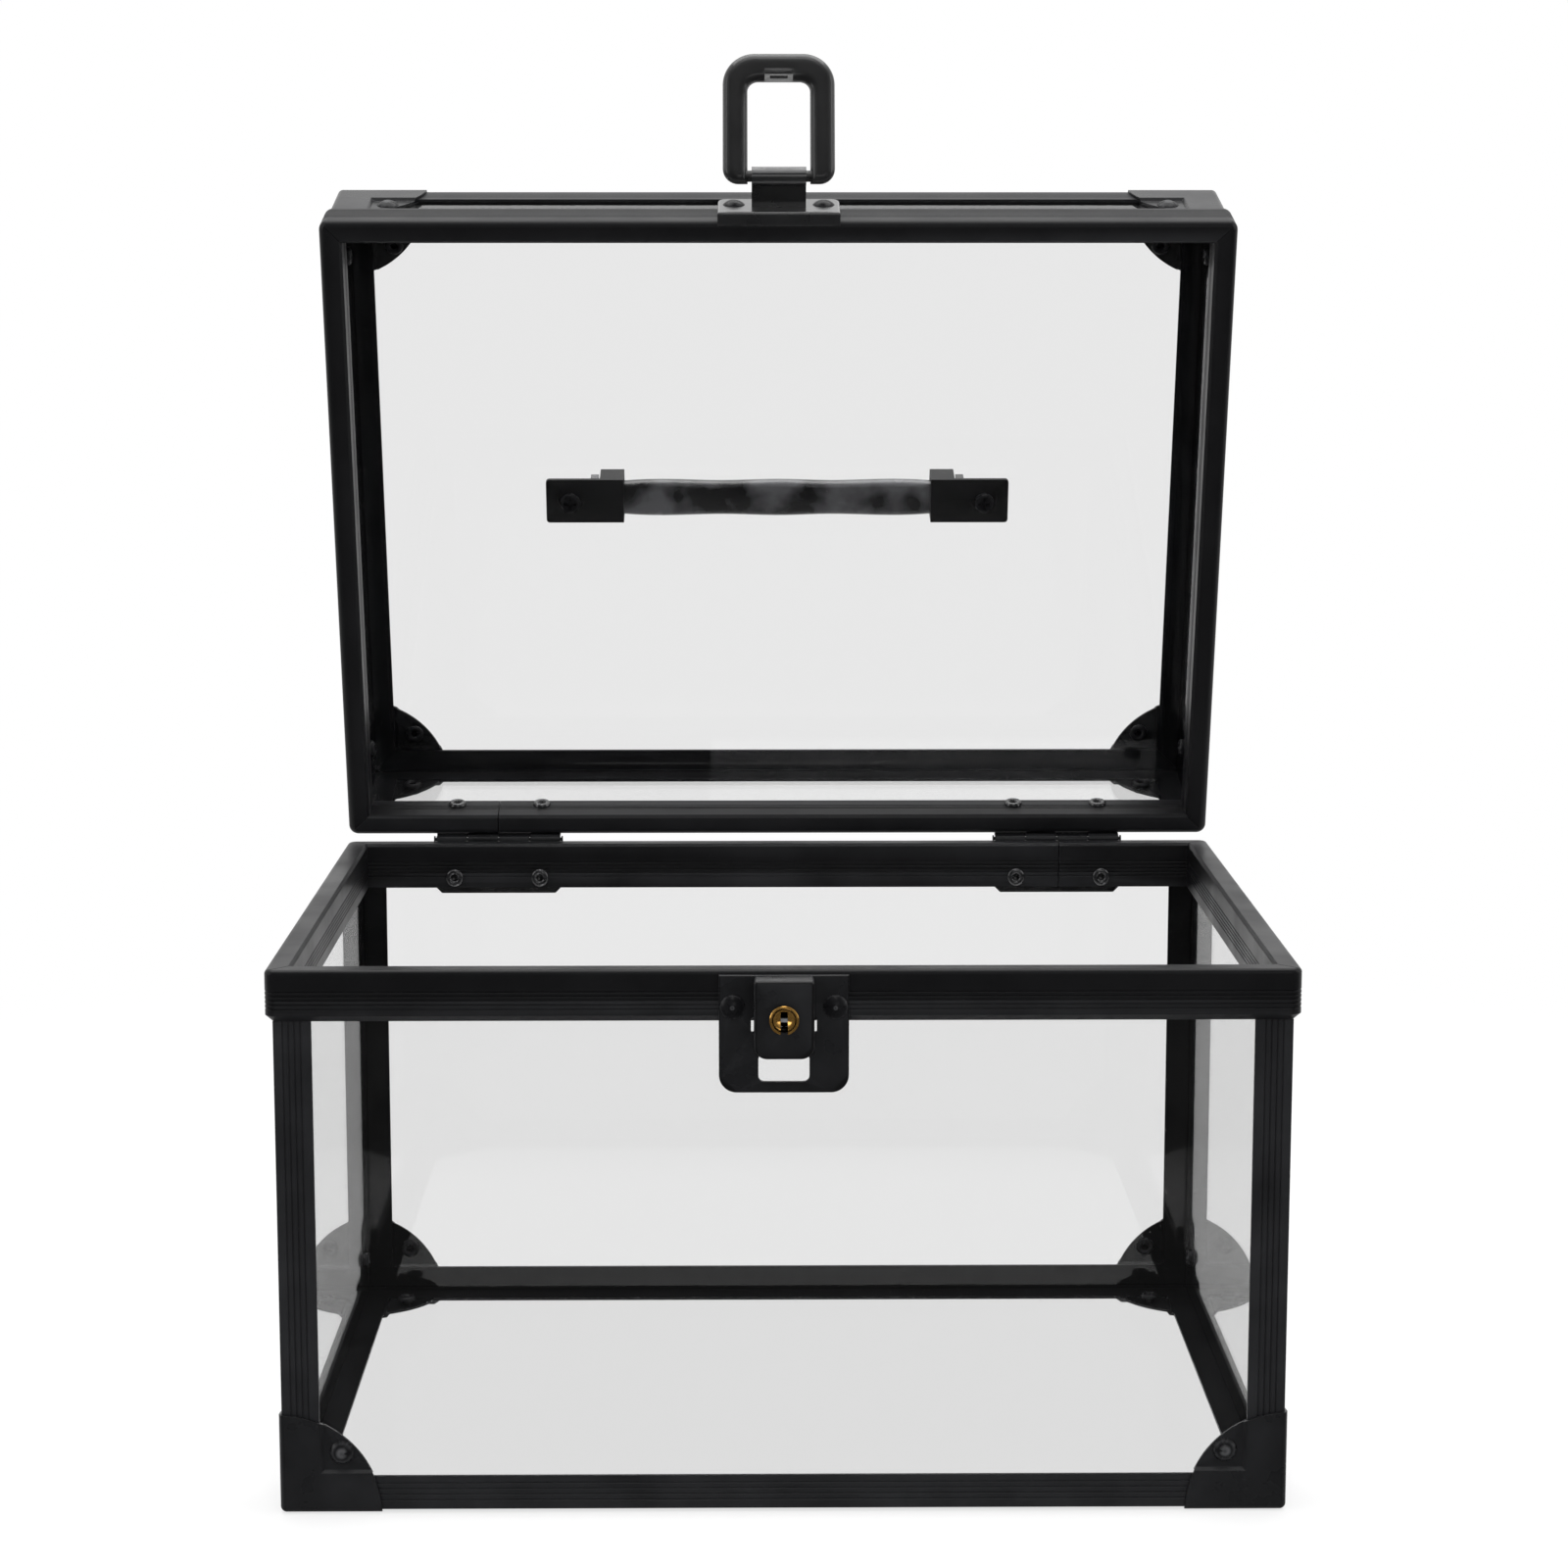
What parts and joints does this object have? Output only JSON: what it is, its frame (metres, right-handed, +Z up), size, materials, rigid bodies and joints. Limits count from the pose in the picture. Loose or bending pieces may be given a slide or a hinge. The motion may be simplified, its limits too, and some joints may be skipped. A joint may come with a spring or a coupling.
{
  "type": "donation box",
  "caption": "Clear rectangular donation box in a black metal frame, with riveted corner caps, a hinged lid with a carrying handle, and a hasp that swings over a key lock.",
  "frame": {"origin": "on the ground, under the middle of the outline of the box with its lid standing open", "axes": "+Z up, -Y to the front (the side with the lock), +X to the right as seen from the front"},
  "size_m": [0.26, 0.2412, 0.3739],
  "materials": {
    "acrylic": "clear, polished",
    "rim_aluminium": "black anodised, satin, ribbed",
    "angle_aluminium": "black anodised, satin, ribbed",
    "cap_steel": "black, semi-gloss",
    "rivet_steel": "black, semi-gloss",
    "hinge_steel": "black, semi-gloss",
    "lock_steel": "black, semi-gloss",
    "inner_steel": "zinc plated",
    "plug_brass": "turned, bright",
    "bracket_plastic": "moulded, black",
    "strap_plastic": "moulded, black, flexible"
  },
  "bodies": {
    "base": {"base_floor_panel": "acrylic", "base_front_panel": "acrylic", "base_rear_panel": "acrylic", "base_left_panel": "acrylic", "base_right_panel": "acrylic", "base_rim": "rim_aluminium", "base_post_front_left": "angle_aluminium", "base_post_front_right": "angle_aluminium", "base_post_rear_left": "angle_aluminium", "base_post_rear_right": "angle_aluminium", "base_edge_front": "angle_aluminium", "base_edge_right": "angle_aluminium", "base_edge_rear": "angle_aluminium", "base_edge_left": "angle_aluminium", "base_cap_front_left": "cap_steel", "base_cap_front_right": "cap_steel", "base_cap_rear_left": "cap_steel", "base_cap_rear_right": "cap_steel", "base_cap_rivets": "rivet_steel", "base_hinge_rivets": "rivet_steel", "hinge_base_leaf_left": "hinge_steel", "hinge_base_leaf_right": "hinge_steel", "hinge_pin_left": "hinge_steel", "hinge_pin_right": "hinge_steel", "lock_plate": "lock_steel", "lock_cover": "lock_steel", "lock_rivets": "rivet_steel"},
    "lid": {"lid_top_panel": "acrylic", "lid_front_panel": "acrylic", "lid_rear_panel": "acrylic", "lid_left_panel": "acrylic", "lid_right_panel": "acrylic", "lid_rim": "rim_aluminium", "lid_post_front_left": "angle_aluminium", "lid_post_front_right": "angle_aluminium", "lid_post_rear_left": "angle_aluminium", "lid_post_rear_right": "angle_aluminium", "lid_edge_front": "angle_aluminium", "lid_edge_right": "angle_aluminium", "lid_edge_rear": "angle_aluminium", "lid_edge_left": "angle_aluminium", "lid_cap_front_left": "cap_steel", "lid_cap_front_right": "cap_steel", "lid_cap_rear_left": "cap_steel", "lid_cap_rear_right": "cap_steel", "lid_cap_rivets": "rivet_steel", "lid_hinge_rivets": "rivet_steel", "hinge_lid_leaf_left": "hinge_steel", "hinge_lid_leaf_right": "hinge_steel", "hasp_plate": "lock_steel", "hasp_rivets": "rivet_steel", "handle_bracket_left": "bracket_plastic", "handle_bracket_right": "bracket_plastic", "handle_screws": "inner_steel"},
    "hasp": {"hasp_loop": "lock_steel"},
    "key_plug": {"lock_plug": "plug_brass", "lock_wafer": "inner_steel", "lock_cam": "inner_steel"},
    "bolt": {"lock_bolt": "inner_steel"},
    "handle": {"handle_strap": "strap_plastic"}
  },
  "joints": [
    {"name": "lid_hinge", "type": "hinge", "parent": "base", "child": "lid", "pos_m": [0, 0.07933, 0.1422], "axis": [-1, 0, 0], "range_deg": [-75.7, 84]},
    {"name": "hasp_swing", "type": "hinge", "parent": "lid", "child": "hasp", "pos_m": [0, 0.03395, 0.33966], "axis": [-1, 0, 0], "range_deg": [-124.8, 55]},
    {"name": "key_turn", "type": "hinge", "parent": "base", "child": "key_plug", "pos_m": [0, -0.12057, 0.1311], "axis": [0, 1, 0], "range_deg": [0, 90]},
    {"name": "bolt_slide", "type": "slide", "parent": "base", "child": "bolt", "axis": [0, 0, -1], "range_m": [0, 0.0034]},
    {"name": "handle_lift", "type": "slide", "parent": "lid", "child": "handle", "axis": [0, 0.969, 0.247], "range_m": [0, 0.0035]}
  ],
  "couplings": [
    {"joint": "key_turn", "follows": "bolt_slide", "rad_per_m": 461.99}
  ]
}
